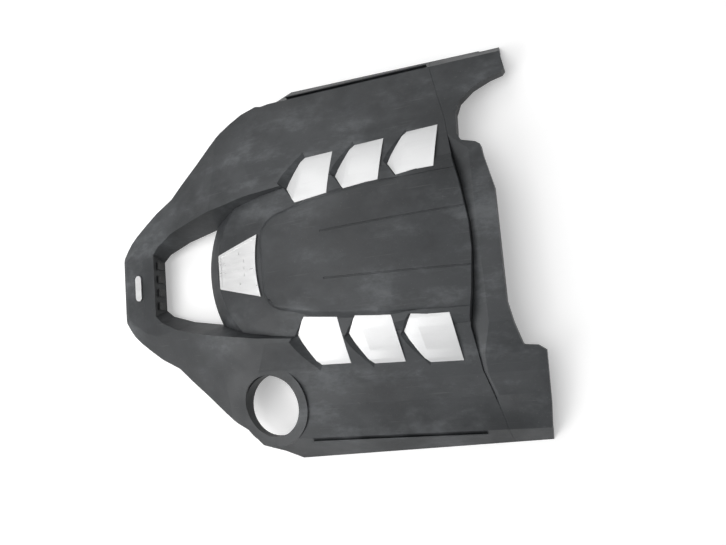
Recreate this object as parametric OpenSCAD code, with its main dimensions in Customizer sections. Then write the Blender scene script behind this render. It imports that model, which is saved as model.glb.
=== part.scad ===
// Engine cover for a vee engine: a grained plastic frame with a raised centre body,
// a separate rear panel, six satin silver gill inserts, a plate and push-on rubber mounts.
// X runs from the nose to the rear, Y across the cover and Z up. Millimetres.

/* [Frame] */
// Station of the rear tab, measured from the nose
cover_len = 667; // [655:1:690]
// Half width between the upper edges of the two side skirts
skirt_top_y = 246; // [240:1:252]
// Outward lean of a side skirt, in mm per mm of height
skirt_lean = 0.7; // [0.5:0.05:0.9]
// Wall thickness of the mouldings
wall = 3; // [2:0.25:4]
// Depth of the turned-down edges
edge_depth = 16; // [14:1:20]
// Height of the wings beside the front gills
ridge_z = 81; // [78:1:84]
// Fall of the wings towards the rear, in mm per mm
wing_fall = 0.07; // [0.05:0.01:0.09]
// Outward fall of the front slopes, in mm per mm
flank_fall = 0.26; // [0.22:0.01:0.3]
// Height of the nose behind its rounded edge
nose_z = 31; // [27:1:35]

/* [Opening] */
// Station of the front wall of the intake opening
opening_x = 77; // [70:1:84]
// Lean of the opening's side walls, in mm per mm of height
opening_lean = 0.35; // [0.25:0.05:0.4]
// Depth of the opening's wall at its front
opening_depth = 28; // [20:1:32]

/* [Centre body] */
// Crown height of the plateau
plateau_z = 90; // [88:1:94]
// Crown radius of the plateau along the cover
crown_r = 950; // [850:10:1100]
// Station of the plateau's front edge
plateau_x = 304; // [302:1:308]
// Width of the bevel round the plateau, in mm per mm of its height
bevel_draft = 0.8; // [0.7:0.05:0.9]
// Radius of the front lip in plan
lip_r = 172; // [166:1:176]
// Height of the front lip
lip_z = 34; // [31:1:38]
// Depth of the two lines along the plateau
line_depth = 1; // [0.5:0.25:1.5]

/* [Gills] */
// Distance from one gill to the next
gill_pitch = 75; // [72:0.5:77]
// Station of the first gill's inner front corner
gill_x = 361; // [358:1:364]
// Thickness of a gill insert
gill_t = 4; // [3:0.25:5]
// Gap between a gill insert and its pocket
gill_gap = 0.4; // [0.3:0.1:0.8]
// Growth of the gill pockets, as a share of their size per mm of height
gill_flare = 0.018; // [0.012:0.002:0.022]

/* [Plates] */
// Thickness of the plate in front of the plateau
plate_t = 2; // [1.5:0.25:3]
// Length of the plate along the axis
plate_len = 75; // [68:1:78]
// Length of the plain bar on the nose
bar_len = 42; // [30:1:50]
// Width of the plain bar on the nose
bar_w = 13; // [8:1:16]

/* [Filler hole] */
// Radius of the hole that clears the oil filler cap
filler_r = 44; // [38:0.5:46]
// Station of the hole's centre
filler_x = 288; // [284:1:292]
// Offset of the hole's centre from the axis
filler_y = -199; // [-202:1:-196]
// Width of the raised collar round the hole
filler_rim = 14; // [12:0.5:16]
// Height of the collar's top
filler_z = 57; // [55:0.5:60]
// Depth of the collar's wall
filler_depth = 22; // [16:1:26]

/* [Mounts and fasteners] */
// Radius of a ball socket's entry
socket_r = 4.5; // [4:0.25:5]
// Outer radius of a rubber grommet
grommet_r = 9; // [8:0.25:10]
// Height of a grommet's body
grommet_h = 12; // [10:1:14]
// Height of the grommets' lower faces above the floor
grommet_z = 14; // [10:1:16]
// Shank radius of the screws
screw_r = 2; // [1.5:0.25:2.25]
// Radius of a push nut
nut_r = 4.5; // [4:0.25:5]
// Clearance between pieces that seat on each other
seat = 0.3; // [0.2:0.05:0.4]
// Thickness of the foam pad under the plateau
pad_t = 8; // [5:1:12]

/* [Hidden] */

charcoal = [0.19, 0.19, 0.2];
black = [0.1, 0.1, 0.11];
silver = [0.8, 0.81, 0.82];
rubber = [0.08, 0.08, 0.08];
steel = [0.6, 0.6, 0.62];

// Stations of the foremost point and of the place where the wings' height is stated
nose_x = -5;
ridge_x = 343;
// Offset and station of the corner where the centre body meets the rear panel
seam_y = 111;
seam_x = 582;
// Stations of the hood's axis of spin and of the highest point of the crown
spin_x = 354;
crown_x = 400;
// The hood's rear is a second crown, lower than the plateau's and further back
hood_step = 4;
step_shift = 14;
// Front slope of the wings: height at the nose, rises in mm per mm and stations where they change
slope_z = 38.5;
slope_rise = [0.28, 0.14, 0.1];
slope_x = [215, 270];
// Length of the rear panel's tongue under the frame
tongue = 14;
// Ridge across the rear panel: its station, its rise and its fade towards the right
ridge_end = 605;
ridge_rise = 0.3;
ridge_fade = 0.236;
// Ledge under the centre body: its width and the station where it starts
ledge = 10;
ledge_x = 348;
// Tilt of the filler hole's collar, outwards and forwards
filler_tilt = [10, -5, 0];
// Plate in front of the plateau: its front edge, widths, radius of its rear edge and border
plate_x = 222;
plate_half_w = [25, 45];
plate_rear_r = 172;
plate_rear_dip = 6;
plate_border = 4;
plate_sink = 0.6;
// Studs of the plate: place, height of their lower ends, length and radius
stud_x = 262;
stud_y = 22;
stud_z = 66;
stud_len = 13.5;
stud_r = 1.5;
// Room round a stud in its hole
stud_gap = 0.4;
// Lines along the plateau: offset at the crown, angle to the axis, length and width
line_y = 32;
line_angle = 1.7;
line_len = 300;
line_w = 1.8;
// Ribs along the skirts: length, place outside the skirt's edge, thickness, top and foot
rib_len = 240;
rib_y = 4.6;
rib_t = 1.2;
rib_top = -0.8;
rib_foot = -10;
// Middle of the cover's length, and sizes that reach past the whole cover
mid_x = (nose_x + cover_len) / 2;
far = 900;
top = 130;

// Height of the wings at the joint with the centre body
function wing_z(x) = ridge_z - wing_fall * (x - ridge_x);

// Half cross-section of the wings: height against distance from the axis
wing_half = [[0, 0], [seam_y, 0], [150, -13.5], [174, -19], [202, -22], [skirt_top_y, -32]];
function surface_z(x, y) = wing_z(x) + lookup(abs(y), wing_half);
function mirrored(points) = [for (i = [len(points) - 1 : -1 : 0]) [points[i][0], -points[i][1]]];
function flipped(points) = [for (i = [len(points) - 1 : -1 : 0]) [-points[i][0], points[i][1]]];

// Plan of the cover: nose and flank on one side
flank = [[nose_x, 30], [2, 49], [12, 68], [20, 79], [33, 90], [57, 106], [80, 120],
    [117, 136], [140, 156], [174, 183], [202, 207], [221, 222], [240, 233]];
skirt_y = skirt_top_y + 60;
// Left side: edge with its small tab, then the skirt
left_edge = [[262, skirt_top_y - 3], [290, skirt_top_y + 3], [300, skirt_top_y], [328, skirt_top_y + 1],
    [331, skirt_y], [600, skirt_y], [628, 262]];
// Rear edge on the left: ear, notch and strip
rear_left = [[654, 262], [655, 245], [659, 219], [655, 214], [639, 210], [615, 199], [597, 184],
    [591, 168], [591, 137], [596, 126], [614, 120], [620, 115], [622, 100], [631, 57]];
// Rear edge on the right: strip, tab and corner
rear_right = [[629, -88], [634, -115], [641, -142], [cover_len - 9, -144], [cover_len, -151],
    [cover_len - 3, -216], [cover_len - 12, -skirt_y]];
right_edge = [[330, -skirt_y], [286, -skirt_top_y - 22], [262, -skirt_top_y - 10]];
// Joint of the frame and the centre body with the rear panel
joint_left = [[550, 320], [560, 245], [576, 163], [seam_x, 114], [590, 69], [596, 15]];

// Rim of the intake opening and edge of the centre body: station, half width and height
rim = [[opening_x, 50, 41], [opening_x + 15, 62, 46], [137, 76, 54], [194, 88, 69], [246, 96, 80],
    [338, 107, 81], [417, seam_y, wing_z(417)], [700, seam_y, wing_z(493)]];

// Points along a curve that starts at a, heads for b and ends at c
function curve(a, b, c, n) = [for (i = [0 : n])
    let (t = i / n) (1 - t) * ((1 - t) * a + 2 * t * b) + t * t * c];

// Plan of the plateau at the height plan_z, one side, with its rounded front corner
plateau_half = concat(curve([plateau_x, 34], [plateau_x + 3, 65], [plateau_x + 39, 69.5], 8),
    [[382, 79.5], [425, 84], [469, 86.5], [557, 81.5], [620, 73.5]]);
plateau_loop = concat(mirrored(plateau_half), plateau_half);
plan_z = 84;

// Outline of a gill insert in its own plane, with a curved front edge
gill_front = [[-16.5, 26], [-11.5, 37], [-4.5, 48], [4, 59.5], [13, 70]];
gill_plan = concat([[0, 0]], gill_front, [[56, 71], [49, 5]]);
gill_y = [80, 85, 89.5];
gill_z = [81.5, 80.5, 75.5];
gill_roll = [16, 19, 19.5];
flare_at = [36, -10];
gill_bow_r = 245;
gill_bow = 2;
stud_points = [[18, 50], [34, 11]];

// Screws: length under the head, stations and offsets from the axis
screw_len = 11;
centre_points = [for (x = [421.5, 497]) for (side = [-1, 1]) [x, side * 99]];
rear_points = [[565, 185], [557, 222], [585, -185], [596, -222]];
grommet_points = [[165, 128], [165, -128], [525, 212], [525, -212]];

module outline(inset = 0) {
    offset(delta = -inset)
        offset(r = -3, $fn = 16) offset(r = 3, $fn = 16) {
            polygon(concat(flank, left_edge, rear_left, rear_right, right_edge, mirrored(flank)));
            translate([filler_x, filler_y])
                circle(r = filler_r + filler_rim, $fn = 64);
        }
}

// Plan of everything in front of the joint, its line moved by shift
module front_zone(shift = 0) {
    translate([shift, 0])
        polygon(concat(
            [[-far, far], [540, far]], joint_left, mirrored(joint_left), [[540, -far], [-far, -far]]));
}

module front_block(shift = 0) {
    linear_extrude(height = top) joint_plan(shift);
}

// The joint runs further back on the right, behind the filler
module joint_plan(shift = 0) {
    front_zone(shift);
    translate([shift, 0])
        polygon([[500, -seam_y], [seam_x, -114], [588, -170], [598, -202], [606, -231],
            [620, -320], [500, -320]]);
}

// Cross-section of both wings and skirts
module wing_section(inset = 0) {
    foot = [skirt_top_y + 100 * skirt_lean, -132];
    half = concat(wing_half, [foot, [foot[0], -far]]);
    offset(delta = -inset)
        polygon(concat(half, flipped(half)));
}

// The wing section drawn along the cover with a given fall, level with the wings at a station
module wing_sweep(station, fall, drop = 0, inset = 0) {
    translate([station, 0, wing_z(station) - drop])
        rotate([0, atan(fall), 0])
            rotate([90, 0, 90])
                linear_extrude(height = 2 * far, center = true)
                    scale([1, cos(atan(fall))]) wing_section(inset);
}

// Side profile drawn across the cover
module across(height = 2 * far) {
    rotate([90, 0, 0])
        linear_extrude(height = height, center = true)
            children();
}

// Front slopes of both wings: a side profile drawn outwards and downwards
module front_slopes(drop = 0) {
    z1 = slope_z + slope_rise[0] * slope_x[0];
    z2 = z1 + slope_rise[1] * (slope_x[1] - slope_x[0]);
    profile = [[-far, -far], [-far, slope_z - slope_rise[0] * far], [slope_x[0], z1], [slope_x[1], z2],
        [far, z2 + slope_rise[2] * (far - slope_x[1])], [far, -far]];
    intersection_for (side = [0, 1])
        mirror([0, side, 0])
            translate([0, 0, -drop])
                rotate([-atan(flank_fall), 0, 0])
                    across() polygon(profile);
}

// Side profile of the nose, with its rounded front edge
module nose_profile(drop = 0, inset = 0) {
    edge = [[-18, 0], [-11, 2], [-6, 7], [-2.5, 12], [0, 18]];
    translate([0, 0, -drop])
        across()
            offset(delta = -inset)
                polygon(concat([[nose_x, -far]],
                    [for (p = edge) [nose_x + p[1], nose_z + p[0]]],
                    [[50, nose_z + 4], [78, nose_z + 10], [110, nose_z + 20], [137, nose_z + 30],
                    [165, nose_z + 45], [165, far], [far, far], [far, -far]]));
}

// Solid under the frame's upper surface, lowered by drop or drawn in by inset
module frame_form(drop = 0, inset = 0) {
    shift = inset > 0 ? 0 : drop;
    intersection() {
        linear_extrude(height = top) outline(inset);
        union() {
            intersection() {
                wing_sweep(ridge_x, wing_fall, shift, inset);
                front_slopes(drop);
                nose_profile(shift, inset);
            }
            intersection() {
                translate([filler_x, filler_y, 0])
                    cylinder(r = filler_r + filler_rim - inset, h = top, $fn = 96);
                translate([filler_x, filler_y, filler_z - drop])
                    rotate(filler_tilt)
                        translate([-far, -far, -2 * far]) cube(2 * far);
            }
        }
    }
}

// The rim's plan at a height, clockwise from above, and a loop drawn in by inset
function rim_side(z) = [for (p = rim) [p[0], p[1] + opening_lean * (z - p[2])]];
function rim_loop(z) = concat(mirrored(rim_side(z)), rim_side(z));
function turned(v) = [v[1], -v[0]];
function ahead(loop, i) = loop[(i + 1) % len(loop)] - loop[i];
function drawn_in(loop, inset) = [for (i = [0 : len(loop) - 1])
    let (n = len(loop), u = ahead(loop, (i + n - 1) % n), v = ahead(loop, i), m = u / norm(u) + v / norm(v))
    loop[i] + 2 * inset * turned(m) / (m * m)];

// Solid between a loop at one height and a loop with parallel sides at another
module drafted(lower, upper, z0, z1) {
    n = len(lower);
    polyhedron(
        points = concat([for (p = lower) [p[0], p[1], z0]], [for (p = upper) [p[0], p[1], z1]]),
        faces = concat(
            [[for (i = [n - 1 : -1 : 0]) i], [for (i = [0 : n - 1]) n + i]],
            [for (i = [0 : n - 1]) [i, (i + 1) % n, n + (i + 1) % n, n + i]]));
}

// Solid inside the walls of the intake opening and the edge of the centre body
module well(inset = 0) {
    drafted(drawn_in(rim_loop(0), inset), drawn_in(rim_loop(top), inset), 0, top);
}

// Hood behind the opening: half profile from the axis of spin to the lip
module hood_half(inset = 0) {
    half = [[0, 93], [lip_r - 115, 85], [lip_r - 61, 75.5], [lip_r - 38, lip_z + 34], [lip_r, lip_z],
        [lip_r, -far], [0, -far]];
    intersection() {
        offset(delta = -inset) polygon(concat(half, [[-far, -far], [-far, 93]]));
        translate([0, -far]) square([far, 2 * far]);
    }
}

// Hood and shoulders of the centre body, without the plateau
module shoulders(drop = 0, inset = 0) {
    shift = inset > 0 ? 0 : drop;
    intersection() {
        translate([spin_x, 0, -shift])
            union() {
                rotate_extrude($fn = 128) hood_half(inset);
                for (side = [0, 1])
                    mirror([0, side, 0])
                        rotate([90, 0, 90])
                            linear_extrude(height = far) hood_half(inset);
            }
        translate([step_shift, 0, 0]) crown(hood_step + drop);
        translate([ridge_x, 0, ridge_z - drop])
            rotate([0, atan(wing_fall), 0])
                rotate([90, 0, 90])
                    linear_extrude(height = 2 * far, center = true)
                        polygon([[0, 0.6 * seam_y], [-far, 0.6 * (seam_y - far)], [-far, -2 * far],
                            [far, -2 * far], [far, 0.6 * (seam_y - far)]]);
    }
}

// Crowned top, an arc drawn across the cover
module crown(drop = 0) {
    translate([crown_x, 0, plateau_z - drop - crown_r])
        rotate([90, 0, 0])
            cylinder(r = crown_r, h = 2 * far, center = true, $fn = 360);
}

module plateau_plan(grow = 0) {
    polygon(drawn_in(plateau_loop, -grow));
}

// Plateau with its bevelled edge, which fades as the step dies out towards the rear
module plateau(drop = 0, inset = 0) {
    foot = 40;
    intersection() {
        crown(drop);
        translate([0, 0, plan_z - drop])
            drafted(
                drawn_in(plateau_loop, inset - foot * bevel_draft),
                drawn_in(plateau_loop, inset + 10 * bevel_draft), -foot, 10);
    }
}

// Solid under the centre body's upper surface
module centre_form(drop = 0, inset = 0) {
    intersection() {
        well(seat + inset);
        front_block(-seat - inset);
        union() {
            shoulders(drop, inset);
            plateau(drop, inset);
        }
    }
}

// Solid under the rear panel's upper surface: a ridge behind the joint and a rolled rear edge
module rear_form(drop = 0, inset = 0) {
    difference() {
        intersection() {
            frame_form(drop, inset);
            below_ridge(drop);
        }
        front_block(seat + inset);
    }
}

// Space under a face that rises from the joint to the ridge and fades out along the right wing
module below_ridge(drop = 0) {
    rise = ridge_rise * far;
    translate([ridge_end, 0, wing_z(ridge_end) - drop])
        intersection() {
            across() polygon([[-far, -rise], [0, 0], [far, rise], [far, -far], [-far, -far]]);
            translate([0, -seam_y, 0])
                rotate([atan(ridge_fade), 0, 0])
                    across() polygon([[-far, -rise], [far, rise], [far, -far], [-far, -far]]);
        }
}

// Places children in the plane of a gill insert
module at_gill(i, side) {
    mirror([0, side < 0 ? 1 : 0, 0])
        translate([gill_x + i * gill_pitch, gill_y[i], gill_z[i]])
            rotate([-gill_roll[i], 0, 0])
                children();
}

// Space below the bowed surface of a gill, lowered by drop
module below_bow(drop = 0) {
    translate([0, 35, gill_bow - gill_bow_r - drop])
        rotate([0, 90, 0])
            cylinder(r = gill_bow_r, h = 300, center = true, $fn = 180);
}

// Outline of a gill at a height, grown on all sides: the column over it flares upwards
function gill_loop(grow, z) = [for (p = drawn_in(gill_plan, -grow))
    flare_at + (p - flare_at) * (1 + gill_flare * z)];

module gill_column(grow) {
    drafted(gill_loop(grow, -20), gill_loop(grow, 40), -20, 40);
}

// Column over a gill down to a bowed floor
module gill_recess(grow, depth) {
    difference() {
        gill_column(grow);
        below_bow(depth);
    }
}

module gill_pockets() {
    for (i = [0 : 2], side = [-1, 1])
        at_gill(i, side) {
            gill_recess(gill_gap, gill_t + seat);
            for (p = stud_points)
                translate([p[0], p[1], -30])
                    cylinder(r = stud_r + stud_gap, h = 30, $fn = 24);
        }
}

module gill_cups() {
    for (i = [0 : 2], side = [-1, 1])
        at_gill(i, side)
            gill_recess(gill_gap + wall, gill_t + seat + wall);
}

// Satin insert with a lowered facet along its curved front edge, and two studs below
module gill(i, side) {
    color(silver)
        placed() at_gill(i, side) {
            difference() {
                intersection() {
                    gill_column(0);
                    below_bow();
                }
                below_bow(gill_t);
                translate([3, 0, gill_bow - 0.6])
                    rotate([0, 0, -9])
                        rotate([0, -9, 0])
                            translate([-60, -20, 0])
                                cube([60, 120, 30]);
            }
            for (p = stud_points)
                translate([p[0], p[1], -gill_t - wall - 2])
                    cylinder(r = stud_r, h = wall + 4, $fn = 24);
        }
}

// Flat-bottomed pad under a sheet that a screw passes through
module screw_pads(points) {
    for (p = points)
        translate([p[0], p[1], screw_seat(p)])
            cylinder(r = 6.5, h = 12, $fn = 32);
}

function screw_seat(p) = surface_z(p[0], p[1]) - edge_depth - seat - wall - 2;

// Screw holes from below, upright or square to a sloping sheet
module screw_holes(points, r) {
    for (p = points)
        translate([p[0], p[1], screw_seat(p) - 1])
            cylinder(r = r, h = screw_len + 2.5, $fn = 32);
}

module sloped_holes(r) {
    at_ledge() translate([0, 0, -1]) cylinder(r = r, h = screw_len + 1.5, $fn = 32);
}

// Places children on the lower face of the ledge, square to it
module at_ledge() {
    for (p = centre_points)
        translate([p[0], p[1], wing_z(p[0]) - edge_depth - seat - wall])
            rotate([0, atan(wing_fall), 0])
                children();
}

module screw() {
    translate([0, 0, -2.2]) cylinder(r = 2.1 * screw_r, h = 2.2, $fn = 32);
    cylinder(r = screw_r, h = screw_len, $fn = 32);
}

// Sheet that lies under the turned-down edges
module under_sheet() {
    difference() {
        frame_sheet_form(edge_depth + seat);
        frame_sheet_form(edge_depth + seat + wall);
    }
}

module frame_sheet_form(drop) {
    intersection() {
        linear_extrude(height = top) outline(wall + 1);
        wing_sweep(ridge_x, wing_fall, drop);
    }
}

// Lower edge of the opening's wall, rising to the rear
module under_opening() {
    across()
        polygon([[-far, nose_z + 10 - opening_depth], [opening_x, nose_z + 10 - opening_depth],
            [194, lip_z - 5], [320, 52], [345, wing_z(345) - edge_depth - seat - wall],
            [far, wing_z(far) - edge_depth - seat - wall], [far, -far], [-far, -far]]);
}

module front_frame() {
    color(charcoal)
        placed() difference() {
            union() {
                frame_skin();
                skirt_ribs();
                opening_wall();
                // Walls and floors of the gill pockets, as far as the frame reaches
                difference() {
                    intersection() {
                        gill_cups();
                        frame_form();
                        front_block();
                    }
                    well();
                }
                // Bosses for the rear panel's screws
                difference() {
                    intersection() {
                        frame_form(1);
                        for_points(rear_points, 4.5, 0, top);
                    }
                    frame_form(edge_depth);
                }
                // Collar round the filler hole
                intersection() {
                    translate([filler_x, filler_y, filler_z - filler_depth])
                        cylinder(r = filler_r + wall, h = filler_depth, $fn = 96);
                    frame_form();
                }
                // Towers for the grommets
                intersection() {
                    frame_form(1);
                    for_points(grommet_points, grommet_r + 3, grommet_z + 3 + seat, top);
                }
            }
            gill_pockets();
            sloped_holes(screw_r + 0.3);
            screw_holes(rear_points, screw_r + 0.1);
            translate([filler_x, filler_y, 0]) cylinder(r = filler_r, h = top, $fn = 96);
            for_points(grommet_points, grommet_r, 0, grommet_z + 3 + grommet_h + seat);
        }
}

// Thin rib that stands along the top of each skirt
module skirt_ribs() {
    rib = [[rib_y, rib_top], [rib_y + rib_t, rib_top], [rib_y + rib_t, rib_foot], [rib_y, rib_foot]];
    intersection() {
        front_block(-wall);
        for (side = [0, 1])
            mirror([0, side, 0])
                translate([ridge_x, 0, wing_z(ridge_x) + wing_half[5][1]])
                    rotate([0, atan(wing_fall), 0])
                        rotate([90, 0, 90])
                            linear_extrude(height = rib_len)
                                translate([skirt_top_y, 0]) polygon(rib);
    }
}

// Skin of the frame with its turned-down edges
module frame_skin() {
    difference() {
        intersection() {
            frame_form();
            front_block();
        }
        intersection() {
            frame_form(wall, wall);
            front_block(-wall);
        }
        frame_form(edge_depth);
        well();
    }
}

// Wall round the opening and the edge of the centre body, with the ledge that carries it
module opening_wall() {
    difference() {
        intersection() {
            frame_form();
            front_block();
            well(-wall);
        }
        difference() {
            well();
            intersection() {
                wing_sweep(ridge_x, wing_fall, edge_depth + seat);
                translate([ledge_x, -far, -far]) cube([far, 2 * far, 2 * far]);
            }
        }
        well(ledge);
        under_opening();
        // Room for the rear panel's tongue
        difference() {
            wing_sweep(ridge_x, wing_fall, edge_depth);
            front_block(-tongue - 1);
        }
    }
}

module for_points(points, r, z0, z1) {
    for (p = points)
        translate([p[0], p[1], z0])
            cylinder(r = r, h = z1 - z0, $fn = 48);
}

module centre_body() {
    color(charcoal)
        placed() difference() {
            centre_form();
            // Hollow below, round the gill pockets and the screw bosses
            difference() {
                union() {
                    centre_form(wall, wall);
                    centre_form_open(edge_depth);
                }
                gill_cups();
                difference() {
                    for_points(centre_points, 6, 0, top);
                    wing_sweep(ridge_x, wing_fall, edge_depth);
                }
            }
            // Room for the frame's ledge
            intersection() {
                wing_sweep(ridge_x, wing_fall, edge_depth);
                translate([ledge_x - seat, -far, -far]) cube([far, 2 * far, 2 * far]);
            }
            gill_pockets();
            sloped_holes(screw_r + 0.1);
            plate_studs(stud_r + stud_gap);
            plateau_lines();
        }
}

// The same upper surface lowered, without the clearance at its sides
module centre_form_open(drop) {
    union() {
        shoulders(drop);
        plateau(drop);
    }
}

// Two fine lines along the plateau
module plateau_lines() {
    for (side = [-1, 1])
        translate([crown_x, side * line_y, plateau_z - crown_r])
            rotate([90, 0, side * line_angle])
                intersection() {
                    difference() {
                        cylinder(r = crown_r + 5, h = line_w, center = true, $fn = 360);
                        cylinder(r = crown_r - line_depth, h = line_w + 1.2, center = true, $fn = 360);
                    }
                    translate([0, crown_r - 60, -5]) cube([line_len, 100, 10]);
                }
}

module rear_panel() {
    color(charcoal)
        placed() difference() {
            union() {
                difference() {
                    rear_form();
                    rear_form(wall, wall);
                    intersection() {
                        wing_sweep(ridge_x, wing_fall, edge_depth);
                        below_ridge(edge_depth);
                    }
                }
                // Tongue under the frame's rear edge
                difference() {
                    intersection() {
                        union() {
                            under_sheet();
                            intersection() {
                                screw_pads(rear_points);
                                frame_sheet_form(edge_depth + seat);
                            }
                        }
                        front_block(seat + wall / 2);
                    }
                    front_block(-tongue);
                }
            }
            screw_holes(rear_points, screw_r + 0.3);
        }
}

// Plan of the plate: narrow at the front, hollowed at the rear to clear the plateau
module plate_plan() {
    rear_x = plate_x + plate_len;
    front = plate_half_w[0];
    rear = plate_half_w[1];
    difference() {
        offset(r = 3, $fn = 24) offset(delta = -3)
            polygon([[plate_x, -front], [rear_x + 2, -rear], [rear_x + 2, rear], [plate_x, front]]);
        translate([rear_x + plate_rear_r - plate_rear_dip, 0]) circle(r = plate_rear_r, $fn = 180);
    }
}

module plate_studs(r) {
    for (side = [-1, 1])
        translate([stud_x, side * stud_y, stud_z])
            cylinder(r = r, h = stud_len, $fn = 24);
}

module badge_plate() {
    color(silver)
        placed() {
            difference() {
                intersection() {
                    linear_extrude(height = top) plate_plan();
                    shoulders(-plate_t - seat);
                }
                shoulders(-seat);
                // Sunk field with a plain border, round three plain bars
                difference() {
                    linear_extrude(height = top) offset(delta = -plate_border) plate_plan();
                    shoulders(-plate_t - seat + plate_sink);
                    for (i = [-1 : 1])
                        translate([plate_x + 24, i * 10 - 2, 0]) cube([24, 4, top]);
                }
            }
            plate_studs(stud_r);
        }
}

module nose_bar() {
    color(silver)
        placed() difference() {
            intersection() {
                linear_extrude(height = top)
                    translate([40, 0])
                        hull()
                            for (side = [-1, 1])
                                translate([0, side * (bar_len - bar_w) / 2]) circle(d = bar_w, $fn = 48);
                nose_profile(-2.5 - seat);
            }
            nose_profile(-seat);
        }
}

// Small clips on the front wall of the opening
module intake_clips() {
    color(black)
        placed() for (y = [-33, -11, 11, 33])
            translate([opening_x + seat, y - 6, 18]) {
                cube([1.6, 12, 15]);
                rotate([-90, 0, 0])
                    linear_extrude(height = 12)
                        polygon([[1, -15], [1, -11], [4.5, -13]]);
            }
}

// Rubber mount: a flange below, a body in the tower and a bored socket for a ball stud
module grommet(p) {
    color(rubber)
        placed() translate([p[0], p[1], grommet_z])
            rotate_extrude($fn = 64)
                polygon([[socket_r + 1, 0], [grommet_r + 2.5, 0], [grommet_r + 2.5, 3], [grommet_r - 0.1, 3],
                    [grommet_r - 0.1, 3 + grommet_h], [socket_r, 3 + grommet_h], [socket_r, 1]]);
}

module centre_screws() {
    color(steel) placed() at_ledge() screw();
}

module rear_screws() {
    color(steel)
        placed() for (p = rear_points)
            translate([p[0], p[1], screw_seat(p)]) screw();
}

// Push nuts on the studs of the gill inserts
module push_nuts() {
    color(steel)
        placed() for (i = [0 : 2], side = [-1, 1])
            at_gill(i, side)
                for (p = stud_points)
                    translate([p[0], p[1], bow_z(p[1]) - gill_t - seat - wall - 1.1])
                        difference() {
                            cylinder(r = nut_r, h = 1, $fn = 32);
                            translate([0, 0, -1]) cylinder(r = stud_r + 0.05, h = 3, $fn = 24);
                        }
}

function bow_z(y) = gill_bow - gill_bow_r + sqrt(pow(gill_bow_r, 2) - pow(abs(y - 35) + nut_r, 2));

// Foam pad under the plateau
module acoustic_pad() {
    color(black)
        placed() difference() {
            intersection() {
                crown(wall + seat);
                linear_extrude(height = top)
                    intersection() {
                        plateau_plan(-10);
                        translate([plateau_x + 20, -200]) square([seam_x - plateau_x - 40, 400]);
                    }
            }
            crown(wall + seat + pad_t);
        }
}

// Puts the middle of the cover's length over the origin
module placed() {
    translate([-mid_x, 0, 0]) children();
}

front_frame();
centre_body();
rear_panel();
gill(0, 1);  // gill_left_front
gill(1, 1);  // gill_left_middle
gill(2, 1);  // gill_left_rear
gill(0, -1);  // gill_right_front
gill(1, -1);  // gill_right_middle
gill(2, -1);  // gill_right_rear
badge_plate();
nose_bar();
intake_clips();
grommet(grommet_points[0]);  // grommet_front_left
grommet(grommet_points[1]);  // grommet_front_right
grommet(grommet_points[2]);  // grommet_rear_left
grommet(grommet_points[3]);  // grommet_rear_right
centre_screws();
rear_screws();
push_nuts();
acoustic_pad();
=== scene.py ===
"""Looks of the engine cover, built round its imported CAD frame. Metres, in the row's frame."""
import math

import bmesh
import bpy
from mathutils import Matrix, Vector


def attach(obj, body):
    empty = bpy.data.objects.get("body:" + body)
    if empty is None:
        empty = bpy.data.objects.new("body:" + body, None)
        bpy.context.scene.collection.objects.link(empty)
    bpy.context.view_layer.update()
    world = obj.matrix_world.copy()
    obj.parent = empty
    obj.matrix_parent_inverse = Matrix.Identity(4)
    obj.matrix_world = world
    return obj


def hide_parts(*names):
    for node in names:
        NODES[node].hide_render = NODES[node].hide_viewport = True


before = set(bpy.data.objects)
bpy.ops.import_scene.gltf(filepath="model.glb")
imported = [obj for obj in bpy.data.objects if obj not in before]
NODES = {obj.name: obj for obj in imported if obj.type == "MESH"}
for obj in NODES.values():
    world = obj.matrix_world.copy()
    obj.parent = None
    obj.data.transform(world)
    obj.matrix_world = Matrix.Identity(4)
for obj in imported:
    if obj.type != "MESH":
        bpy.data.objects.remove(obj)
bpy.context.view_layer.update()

GILL_NODES = (
    "gill_left_front", "gill_left_middle", "gill_left_rear",
    "gill_right_front", "gill_right_middle", "gill_right_rear",
)
RUBBER_NODES = ("grommet_front_left", "grommet_front_right", "grommet_rear_left", "grommet_rear_right")
STEEL_NODES = ("centre_screws", "rear_screws", "push_nuts")

# Studs of the plate: place, radius and height of their ends, and a height just below the plate's face
STUD_X = -0.069
STUD_Y = 0.022
STUD_R = 0.0015
STUD_TIP_Z = 0.0795
PLATE_FACE_Z = 0.0735

# How far a point may lie outside a stud, and below the height of its end, and still belong to it
STUD_MARGIN = 0.0002
TIP_MARGIN = 0.0001

# Crown of the plateau, and limits that keep its edge apart from its lines and from the joint
CROWN_TOP = 0.09
CROWN_R = 0.95
CROWN_X = 0.069
CROWN_MARGIN = 0.0002
PLATEAU_CORNER_X = 0.01
PLATEAU_LINE_Y = 0.058
PLATEAU_REAR_X = 0.235

# Rules for rounded edges, in degrees and metres. An edge is rounded where its faces turn by more than
# "sharp", or by more than "soft" if it is longer than "length". Points nearer than "merge" are joined
# first, and so are facets that turn by less than "flat". "share" is the part of the full width that an
# edge gets, and the plateau's own edge gets all of it. A clamped bevel narrows where edges lie close.
FRAME_RULE = {
    "sharp": 24, "soft": 3.5, "length": 0.024, "flat": 0.3, "merge": 0.00001,
    "width": 0.0012, "share": 1.0, "segments": 2, "clamp": True}
BODY_RULE = {
    "sharp": 16, "soft": 9, "length": 0.02, "flat": 0.3, "merge": 0.0002,
    "width": 0.0028, "share": 0.2, "segments": 3, "clamp": False}
GILL_RULE = {
    "sharp": 12, "soft": 12, "length": 0.02, "flat": 0.05, "merge": 0.00001,
    "width": 0.0006, "share": 1.0, "segments": 2, "clamp": True}
BAR_RULE = {
    "sharp": 25, "soft": 25, "length": 0.02, "flat": 0.3, "merge": 0.0001,
    "width": 0.0004, "share": 1.0, "segments": 2, "clamp": True}
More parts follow.
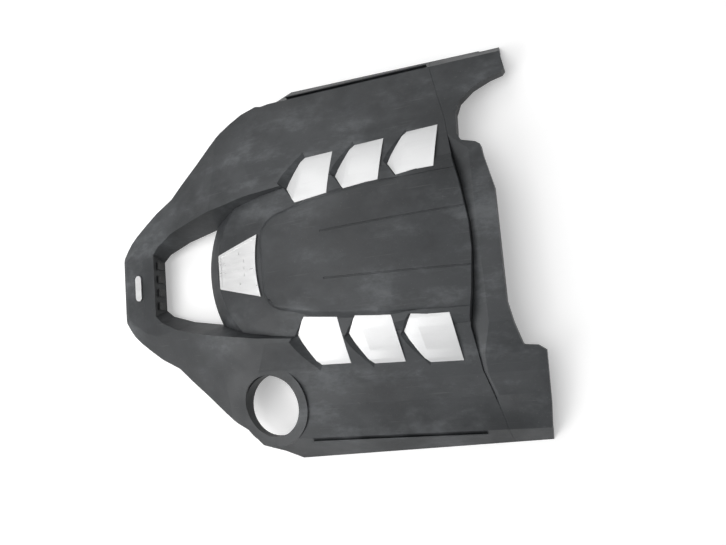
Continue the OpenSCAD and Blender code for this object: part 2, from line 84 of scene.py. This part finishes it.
PLATE_RULE = {
    "sharp": 12, "soft": 12, "length": 0.02, "flat": 0.3, "merge": 0.0002,
    "width": 0.0, "share": 0.0}

# Sockets of the Mix node that carry colours
MIX_A = 6
MIX_B = 7
MIX_RESULT = 2

# Half the floor's side, and the glow that it shows to the camera and in reflections, near and far
FLOOR_REACH = 6.0
GLOW_NEAR = 0.36
GLOW_FAR = 1.0
GLOW_START = 0.9
GLOW_END = 3.5

# The world's colour, and its strength as a light and in reflections. The camera sees it at full strength.
SKY_COLOUR = (0.97, 0.985, 1.0, 1.0)
SKY_LIGHTING = 0.22
SKY_REFLECTED = 0.5

# Area lamps aimed at the middle of the cover: name, place, size and power in watts
LAMPS = (
    ("window", (-0.9, 2.1, 2.1), (2.6, 1.8), 27.0),
    ("doorway", (-1.5, -1.1, 1.5), (1.5, 1.3), 25.0),
    ("ceiling", (-0.7, -0.1, 2.5), (2.0, 2.0), 29.0),
)

# The photograph's view: width and focal length in pixels, and the camera's place and axes, which were
# solved from the joints of its floor tiles
PHOTO_W = 726
FOCAL_PX = 567.87
SENSOR_MM = 36.0
CAMERA_PLACE = (0.384, -0.1215, 0.7718)
CAMERA_RIGHT = (0.92701, -0.09252, -0.36344)
CAMERA_UP = (0.13006, 0.98826, 0.08014)


class Graph:
    """A material's node tree, with short calls to add and join nodes."""

    def __init__(self, name):
        self.material = bpy.data.materials.new(name)
        self.material.use_nodes = True
        self.tree = self.material.node_tree
        self.shader = self.tree.nodes["Principled BSDF"]
        self.coords = self.add("ShaderNodeTexCoord").outputs["Object"]

    def add(self, kind, **settings):
        node = self.tree.nodes.new(kind)
        for key, value in settings.items():
            setattr(node, key, value)
        return node

    def join(self, source, target):
        self.tree.links.new(source, target)

    def put(self, node, name, value):
        """Sets a socket to a number or colour, or joins it to another socket."""
        socket = node.inputs[name]
        if isinstance(value, bpy.types.NodeSocket):
            self.join(value, socket)
        else:
            socket.default_value = value

    def stretched(self, scale):
        node = self.add("ShaderNodeMapping")
        self.join(self.coords, node.inputs["Vector"])
        node.inputs["Scale"].default_value = scale
        return node.outputs["Vector"]

    def noise(self, scale, detail=4.0, roughness=0.55, vector=None):
        node = self.add("ShaderNodeTexNoise")
        self.join(vector or self.coords, node.inputs["Vector"])
        node.inputs["Scale"].default_value = scale
        node.inputs["Detail"].default_value = detail
        node.inputs["Roughness"].default_value = roughness
        return node.outputs["Fac"]

    def cells(self, scale):
        """Distance from the middle of each cell of a random pattern."""
        node = self.add("ShaderNodeTexVoronoi", feature="F1")
        self.join(self.coords, node.inputs["Vector"])
        node.inputs["Scale"].default_value = scale
        return node.outputs["Distance"]

    def ramp(self, value, low, high, start=0.0, end=1.0):
        """Maps a value from low..high to start..end, held at both ends."""
        node = self.add("ShaderNodeMapRange", interpolation_type="SMOOTHSTEP")
        self.put(node, "Value", value)
        for name, number in (("From Min", low), ("From Max", high), ("To Min", start), ("To Max", end)):
            node.inputs[name].default_value = number
        return node.outputs["Result"]

    def maths(self, kind, a, b):
        node = self.add("ShaderNodeMath", operation=kind)
        self.put(node, 0, a)
        self.put(node, 1, b)
        return node.outputs[0]

    def part_of(self, value, share):
        return self.maths("MULTIPLY", value, share)

    def mix(self, share, a, b):
        node = self.add("ShaderNodeMix", data_type="RGBA")
        self.put(node, "Factor", share)
        self.put(node, MIX_A, a)
        self.put(node, MIX_B, b)
        return node.outputs[MIX_RESULT]

    def bump(self, height, distance, strength):
        node = self.add("ShaderNodeBump")
        node.inputs["Strength"].default_value = strength
        node.inputs["Distance"].default_value = distance
        self.join(height, node.inputs["Height"])
        return node.outputs["Normal"]

    def finish(self, **values):
        for name, value in values.items():
            self.put(self.shader, name.replace("_", " "), value)
        return self.material


def grey(level, tint=0.0):
    """A grey in linear light, slightly warmer or cooler by tint."""
    return (level * (1 + tint), level, level * (1 - tint), 1.0)


def grained_plastic():
    """Moulded plastic with a fine leather-like grain, dust smudges and lighter scuffs."""
    g = Graph("grained_plastic")
    dark = grey(0.014, -0.1)
    light = grey(0.022, -0.1)
    dust_tone = grey(0.16, -0.05)
    scratch_tone = grey(0.22)
    speck_tone = grey(0.25, 0.04)
    grain = g.noise(950.0, detail=2.0, roughness=0.6)
    grain_height = g.maths("ADD", grain, g.part_of(g.cells(620.0), 0.7))
    cloud = g.noise(6.0, detail=5.0, roughness=0.6, vector=g.stretched((1.0, 1.3, 1.0)))
    smudge = g.ramp(cloud, low=0.4, high=0.62)
    streak = g.noise(15.0, detail=6.0, roughness=0.7, vector=g.stretched((0.8, 1.5, 1.0)))
    wipes = g.ramp(streak, low=0.46, high=0.7)
    dust = g.maths("MULTIPLY", smudge, g.maths("ADD", g.part_of(wipes, 0.7), 0.3))
    specks = g.ramp(g.noise(420.0, detail=2.0, roughness=0.5), low=0.66, high=0.74)
    line = g.noise(55.0, detail=3.0, roughness=0.5, vector=g.stretched((0.25, 9.0, 1.0)))
    scratch = g.ramp(line, low=0.66, high=0.74)
    base = g.mix(g.noise(30.0), dark, light)
    dusty = g.mix(g.part_of(dust, 0.62), base, dust_tone)
    worn = g.mix(g.part_of(scratch, 0.12), dusty, scratch_tone)
    colour = g.mix(g.part_of(specks, 0.1), worn, speck_tone)
    sheen = g.ramp(g.noise(24.0, detail=5.0), low=0.3, high=0.7, start=0.5, end=0.6)
    rough = g.maths("ADD", sheen, g.part_of(dust, 0.12))
    return g.finish(
        Base_Color=colour, Roughness=rough, Specular_IOR_Level=0.5,
        Normal=g.bump(grain_height, distance=0.0002, strength=0.32))


def satin_silver():
    """Satin silver paint with fine metal flake and faint wipe marks."""
    g = Graph("satin_silver")
    dark = grey(0.64)
    light = grey(0.72)
    wipe_tone = grey(0.5)
    flake = g.noise(2400.0, detail=1.0, roughness=0.5)
    cloud = g.noise(22.0)
    streak = g.noise(40.0, detail=5.0, roughness=0.65, vector=g.stretched((0.4, 3.0, 1.0)))
    wipes = g.ramp(streak, low=0.5, high=0.75)
    base = g.mix(flake, dark, light)
    colour = g.mix(g.part_of(wipes, 0.14), base, wipe_tone)
    rough = g.ramp(cloud, low=0.3, high=0.7, start=0.42, end=0.5)
    return g.finish(
        Base_Color=colour, Metallic=0.5, Roughness=rough,
        Normal=g.bump(flake, distance=0.00006, strength=0.25))


def plate_silver():
    """Satin aluminium of the plate and the nose bar, brushed along the cover."""
    g = Graph("plate_silver")
    dark = grey(0.76, 0.005)
    light = grey(0.86, 0.005)
    stain_tone = grey(0.66, 0.01)
    brushed = g.noise(90.0, detail=2.0, roughness=0.5, vector=g.stretched((0.2, 2.0, 2.0)))
    stain = g.ramp(g.noise(25.0, detail=2.0), low=0.4, high=0.8)
    base = g.mix(brushed, dark, light)
    colour = g.mix(g.part_of(stain, 0.1), base, stain_tone)
    rough = g.ramp(brushed, low=0.2, high=0.8, start=0.26, end=0.36)
    return g.finish(
        Base_Color=colour, Metallic=0.5, Roughness=rough,
        Normal=g.bump(brushed, distance=0.00002, strength=0.2))


def black_plastic():
    """Plain black plastic of the clips."""
    g = Graph("black_plastic")
    dark = grey(0.018)
    light = grey(0.028)
    grain = g.noise(900.0, detail=2.0)
    colour = g.mix(g.noise(40.0), dark, light)
    rough = g.ramp(g.noise(60.0), low=0.3, high=0.7, start=0.42, end=0.55)
    return g.finish(
        Base_Color=colour, Roughness=rough,
        Normal=g.bump(grain, distance=0.0001, strength=0.3))


def rubber():
    """Matt black rubber with a pale bloom."""
    g = Graph("rubber")
    dark = grey(0.018)
    bloom_tone = grey(0.05, 0.02)
    bloom = g.ramp(g.noise(90.0, detail=5.0), low=0.5, high=0.75)
    colour = g.mix(g.part_of(bloom, 0.4), dark, bloom_tone)
    rough = g.ramp(bloom, low=0.0, high=1.0, start=0.62, end=0.8)
    return g.finish(
        Base_Color=colour, Roughness=rough,
        Normal=g.bump(g.noise(700.0, detail=3.0), distance=0.00012, strength=0.35))


def zinc_steel():
    """Zinc plate with its patchy, slightly yellow sheen."""
    g = Graph("zinc_steel")
    dark = grey(0.42, 0.02)
    light = grey(0.56, 0.04)
    spangle = g.noise(320.0, detail=2.0)
    colour = g.mix(g.noise(120.0, detail=3.0), dark, light)
    rough = g.ramp(spangle, low=0.3, high=0.7, start=0.28, end=0.42)
    return g.finish(
        Base_Color=colour, Metallic=1.0, Roughness=rough,
        Normal=g.bump(spangle, distance=0.00005, strength=0.3))


def foam():
    """Open-cell foam with small pores."""
    g = Graph("foam")
    dark = grey(0.02)
    light = grey(0.055)
    cell = g.ramp(g.cells(380.0), low=0.1, high=0.5)
    colour = g.mix(cell, dark, light)
    rough = g.ramp(g.noise(200.0), low=0.3, high=0.7, start=0.85, end=0.97)
    return g.finish(
        Base_Color=colour, Roughness=rough,
        Normal=g.bump(cell, distance=0.0006, strength=0.6))


def dress(names, material):
    for name in names:
        slots = NODES[name].data.materials
        slots.clear()
        slots.append(material)


# Rounded edges

def is_crease(edge, angle, rule):
    """Whether an edge of the solid is a real edge, and not a seam between the facets of one curved face."""
    if angle > rule["sharp"]:
        return True
    return angle > rule["soft"] and edge.calc_length() > rule["length"]


def sink_stud_tips(bm):
    """Brings the ends of the plate's studs down level with its face."""
    def near_stud(point):
        return math.hypot(point.x - STUD_X, abs(point.y) - STUD_Y) < STUD_R + STUD_MARGIN

    tip_foot = STUD_TIP_Z - TIP_MARGIN
    tips = [v for v in bm.verts if near_stud(v.co) and v.co.z > tip_foot]
    ring = [v.co.copy() for v in bm.verts if near_stud(v.co) and PLATE_FACE_Z < v.co.z < tip_foot]
    for tip in tips:
        tip.co.z = min(ring, key=lambda point: (point.xy - tip.co.xy).length).z


def crown_z(x):
    return CROWN_TOP - CROWN_R + math.sqrt(CROWN_R ** 2 - (x - CROWN_X) ** 2)


def on_plateau_edge(edge):
    """Whether an edge bounds the crowned top of the plateau, away from its two lines and its rear end."""
    if not edge.is_convex:
        return False
    for vert in edge.verts:
        x, y, z = vert.co
        if abs(z - crown_z(x)) > CROWN_MARGIN or x > PLATEAU_REAR_X:
            return False
        if x > PLATEAU_CORNER_X and abs(y) < PLATEAU_LINE_Y:
            return False
    return True


def weigh_edges(bm, name, rule):
    """Gives each real edge its share of the bevel and marks it as not smooth."""
    weights = bm.edges.layers.float.new("bevel_weight_edge")
    for edge in bm.edges:
        if len(edge.link_faces) != 2:
            continue
        angle = math.degrees(edge.calc_face_angle(0.0))
        if name == "centre_body" and angle > rule["soft"] and on_plateau_edge(edge):
            edge[weights] = 1.0
            edge.smooth = False
        elif is_crease(edge, angle, rule):
            edge[weights] = rule["share"]
            edge.smooth = False


def add_bevel(obj, rule):
    bevel = obj.modifiers.new("edges", "BEVEL")
    bevel.width = rule["width"]
    bevel.segments = rule["segments"]
    bevel.limit_method = "WEIGHT"
    bevel.use_clamp_overlap = rule["clamp"]
    bevel.harden_normals = True


def rounded(name, material, rule):
    """Stands in for a node with the same shape, and with rounded edges where the rule has a width."""
    mesh = NODES[name].data.copy()
    bm = bmesh.new()
    bm.from_mesh(mesh)
    if name == "badge_plate":
        sink_stud_tips(bm)
    bmesh.ops.remove_doubles(bm, verts=bm.verts, dist=rule["merge"])
    bmesh.ops.dissolve_limit(
        bm, angle_limit=math.radians(rule["flat"]), verts=bm.verts, edges=bm.edges, delimit=set())
    weigh_edges(bm, name, rule)
    for face in bm.faces:
        face.smooth = True
    bm.to_mesh(mesh)
    bm.free()
    obj = bpy.data.objects.new(name + "_looks", mesh)
    bpy.context.scene.collection.objects.link(obj)
    mesh.materials.clear()
    mesh.materials.append(material)
    if rule["width"] > 0:
        add_bevel(obj, rule)
    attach(obj, "root")
    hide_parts(name)


# Stage

def floor_material():
    """Pale matt floor with a glow for the camera and reflections, so that it reads as white."""
    g = Graph("floor")
    dark = grey(0.8, 0.004)
    light = grey(0.84, 0.004)
    colour = g.mix(g.noise(3.0), dark, light)
    path = g.add("ShaderNodeLightPath").outputs
    seen = g.maths("MAXIMUM", path["Is Camera Ray"], path["Is Glossy Ray"])
    distance = g.add("ShaderNodeVectorMath", operation="LENGTH")
    g.join(g.coords, distance.inputs[0])
    glow = g.ramp(distance.outputs["Value"], low=GLOW_START, high=GLOW_END, start=GLOW_NEAR, end=GLOW_FAR)
    return g.finish(
        Base_Color=colour, Roughness=0.6, Specular_IOR_Level=0.2,
        Emission_Color=(1.0, 1.0, 1.0, 1.0), Emission_Strength=g.maths("MULTIPLY", seen, glow))


def add_floor():
    mesh = bpy.data.meshes.new("floor")
    corners = [
        (-FLOOR_REACH, -FLOOR_REACH, 0), (FLOOR_REACH, -FLOOR_REACH, 0),
        (FLOOR_REACH, FLOOR_REACH, 0), (-FLOOR_REACH, FLOOR_REACH, 0)]
    mesh.from_pydata(corners, [], [(0, 1, 2, 3)])
    floor = bpy.data.objects.new("floor", mesh)
    bpy.context.scene.collection.objects.link(floor)
    floor.data.materials.append(floor_material())


def add_lamp(name, place, size, power):
    data = bpy.data.lights.new(name, "AREA")
    data.shape = "RECTANGLE"
    data.size, data.size_y = size
    data.energy = power
    lamp = bpy.data.objects.new(name, data)
    bpy.context.scene.collection.objects.link(lamp)
    lamp.location = place
    lamp.rotation_euler = (-Vector(place)).to_track_quat("-Z", "Y").to_euler()


def add_world():
    """Even light from all round, stronger in reflections and white to the camera."""
    world = bpy.data.worlds.new("studio")
    bpy.context.scene.world = world
    world.use_nodes = True
    tree = world.node_tree
    background = tree.nodes["Background"]
    background.inputs["Color"].default_value = SKY_COLOUR
    path = tree.nodes.new("ShaderNodeLightPath")
    mirrored = tree.nodes.new("ShaderNodeMapRange")
    tree.links.new(path.outputs["Is Glossy Ray"], mirrored.inputs["Value"])
    mirrored.inputs["To Min"].default_value = SKY_LIGHTING
    mirrored.inputs["To Max"].default_value = SKY_REFLECTED
    strength = tree.nodes.new("ShaderNodeMath")
    strength.operation = "MAXIMUM"
    tree.links.new(mirrored.outputs["Result"], strength.inputs[0])
    tree.links.new(path.outputs["Is Camera Ray"], strength.inputs[1])
    tree.links.new(strength.outputs["Value"], background.inputs["Strength"])


def add_camera():
    data = bpy.data.cameras.new("camera")
    data.sensor_width = SENSOR_MM
    data.lens = FOCAL_PX / PHOTO_W * SENSOR_MM
    camera = bpy.data.objects.new("camera", data)
    bpy.context.scene.collection.objects.link(camera)
    right = Vector(CAMERA_RIGHT)
    up = Vector(CAMERA_UP)
    turn = Matrix((right, up, right.cross(up))).transposed().to_4x4()
    camera.matrix_world = Matrix.Translation(CAMERA_PLACE) @ turn
    bpy.context.scene.camera = camera


plastic = grained_plastic()
silver = satin_silver()
plate_metal = plate_silver()
black = black_plastic()
mount_rubber = rubber()
steel = zinc_steel()
pad_foam = foam()

rounded("front_frame", plastic, FRAME_RULE)
rounded("rear_panel", plastic, FRAME_RULE)
rounded("centre_body", plastic, BODY_RULE)
for gill in GILL_NODES:
    rounded(gill, silver, GILL_RULE)
rounded("badge_plate", plate_metal, PLATE_RULE)
rounded("nose_bar", plate_metal, BAR_RULE)
dress(("intake_clips",), black)
dress(RUBBER_NODES, mount_rubber)
dress(STEEL_NODES, steel)
dress(("acoustic_pad",), pad_foam)

add_floor()
add_world()
for lamp_name, lamp_place, lamp_size, lamp_power in LAMPS:
    add_lamp(lamp_name, lamp_place, lamp_size, lamp_power)
add_camera()
bpy.context.scene.view_settings.view_transform = "Standard"
